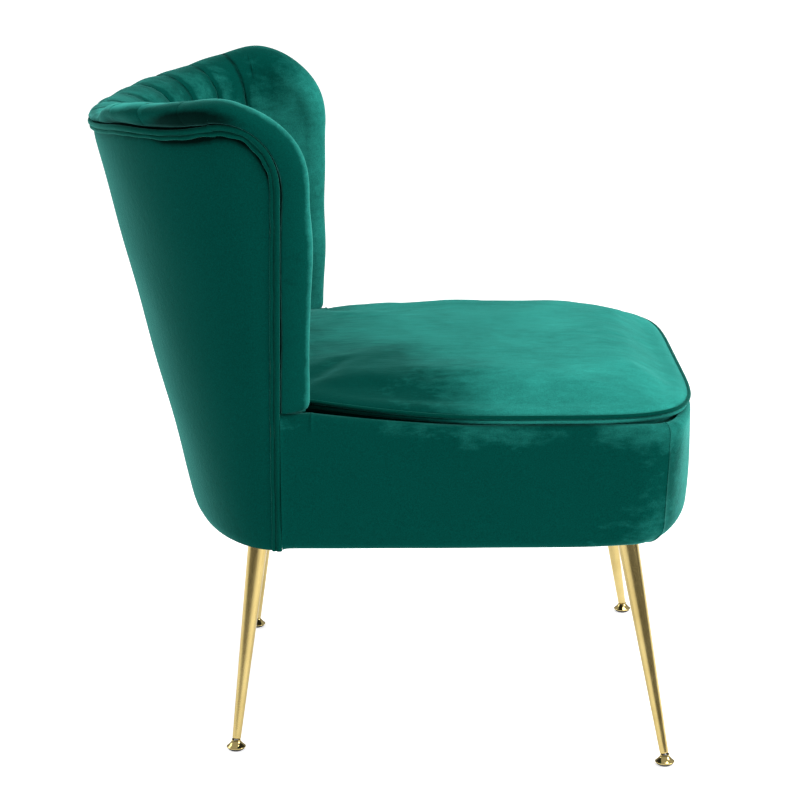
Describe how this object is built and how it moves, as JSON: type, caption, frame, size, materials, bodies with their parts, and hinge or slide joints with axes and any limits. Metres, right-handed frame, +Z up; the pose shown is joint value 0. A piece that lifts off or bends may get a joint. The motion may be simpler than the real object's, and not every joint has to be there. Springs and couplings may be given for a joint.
{
  "type": "upholstered accent chair",
  "caption": "Low lounge chair with a fluted back that fans out, rolls over at the top and wraps round the seat, a crowned cushion and splayed metal legs on level glides.",
  "frame": {"origin": "floor, under the middle of the chair's box", "axes": "+Z up, +Y toward the back, the sitter faces -Y, +X to the sitter's left; the chair is symmetric about X = 0"},
  "size_m": [0.604, 0.6939, 0.7622],
  "materials": {
    "velvet": "emerald short-pile velvet",
    "velvet_trim": "the same velvet, cut on the bias over cord",
    "gold_metal": "brass-plated steel, satin on the legs and polished on the glides",
    "stem_steel": "zinc-plated",
    "spring_steel": "oiled spring wire",
    "rubber": "matt black",
    "wood": "sawn softwood",
    "plywood": "bent plywood",
    "webbing": "elastic webbing",
    "felt": "needled felt",
    "black_cloth": "bonded non-woven cloth"
  },
  "bodies": {
    "chair": {"back_channel_1": "velvet", "back_channel_2": "velvet", "back_channel_3": "velvet", "back_channel_4": "velvet", "back_channel_5": "velvet", "back_channel_6": "velvet", "back_channel_7": "velvet", "back_channel_8": "velvet", "back_channel_9": "velvet", "back_channel_10": "velvet", "back_channel_11": "velvet", "wing_panel_right": "velvet", "wing_panel_left": "velvet", "outside_back_cover": "velvet", "base_front_panel": "velvet", "base_side_panel_right": "velvet", "base_side_panel_left": "velvet", "seat_cushion": "velvet", "double_welt": "velvet_trim", "cushion_piping": "velvet_trim", "back_top_rail": "plywood", "wing_frame_right": "plywood", "wing_frame_left": "plywood", "back_stretcher": "wood", "rear_post_right": "wood", "rear_post_left": "wood", "front_rail": "wood", "side_rail_right": "wood", "side_rail_left": "wood", "rear_rail": "wood", "spring_rail": "wood", "corner_block_front_right": "wood", "corner_block_front_left": "wood", "corner_block_rear_right": "wood", "corner_block_rear_left": "wood", "back_webbing": "webbing", "seat_springs": "spring_steel", "deck_pad": "felt", "dust_cover": "black_cloth", "leg_front_right": "gold_metal", "leg_front_left": "gold_metal", "leg_rear_right": "gold_metal", "leg_rear_left": "gold_metal"},
    "stem_front_right": {"glide_stem_front_right": "stem_steel"},
    "foot_front_right": {"glide_cone_front_right": "gold_metal", "glide_pad_front_right": "rubber"},
    "stem_front_left": {"glide_stem_front_left": "stem_steel"},
    "foot_front_left": {"glide_cone_front_left": "gold_metal", "glide_pad_front_left": "rubber"},
    "stem_rear_right": {"glide_stem_rear_right": "stem_steel"},
    "foot_rear_right": {"glide_cone_rear_right": "gold_metal", "glide_pad_rear_right": "rubber"},
    "stem_rear_left": {"glide_stem_rear_left": "stem_steel"},
    "foot_rear_left": {"glide_cone_rear_left": "gold_metal", "glide_pad_rear_left": "rubber"}
  },
  "joints": [
    {"name": "stem_slide_front_right", "type": "slide", "parent": "chair", "child": "stem_front_right", "axis": [-0.2275, -0.1641, -0.9598], "range_m": [0, 0.005]},
    {"name": "foot_spin_front_right", "type": "hinge", "parent": "stem_front_right", "child": "foot_front_right", "pos_m": [-0.267, -0.312, 0.0096], "axis": [0, 0, -1], "range_deg": [0, 1800]},
    {"name": "stem_slide_front_left", "type": "slide", "parent": "chair", "child": "stem_front_left", "axis": [0.2275, -0.1641, -0.9598], "range_m": [0, 0.005]},
    {"name": "foot_spin_front_left", "type": "hinge", "parent": "stem_front_left", "child": "foot_front_left", "pos_m": [0.267, -0.312, 0.0096], "axis": [0, 0, -1], "range_deg": [0, 1800]},
    {"name": "stem_slide_rear_right", "type": "slide", "parent": "chair", "child": "stem_rear_right", "axis": [-0.1948, 0.1169, -0.9739], "range_m": [0, 0.005]},
    {"name": "foot_spin_rear_right", "type": "hinge", "parent": "stem_rear_right", "child": "foot_rear_right", "pos_m": [-0.2145, 0.181, 0.0096], "axis": [0, 0, -1], "range_deg": [0, 1800]},
    {"name": "stem_slide_rear_left", "type": "slide", "parent": "chair", "child": "stem_rear_left", "axis": [0.1948, 0.1169, -0.9739], "range_m": [0, 0.005]},
    {"name": "foot_spin_rear_left", "type": "hinge", "parent": "stem_rear_left", "child": "foot_rear_left", "pos_m": [0.2145, 0.181, 0.0096], "axis": [0, 0, -1], "range_deg": [0, 1800]}
  ],
  "couplings": [
    {"joint": "foot_spin_front_right", "follows": "stem_slide_front_right", "rad_per_m": 6283.2},
    {"joint": "foot_spin_front_left", "follows": "stem_slide_front_left", "rad_per_m": 6283.2},
    {"joint": "foot_spin_rear_right", "follows": "stem_slide_rear_right", "rad_per_m": 6283.2},
    {"joint": "foot_spin_rear_left", "follows": "stem_slide_rear_left", "rad_per_m": 6283.2}
  ]
}
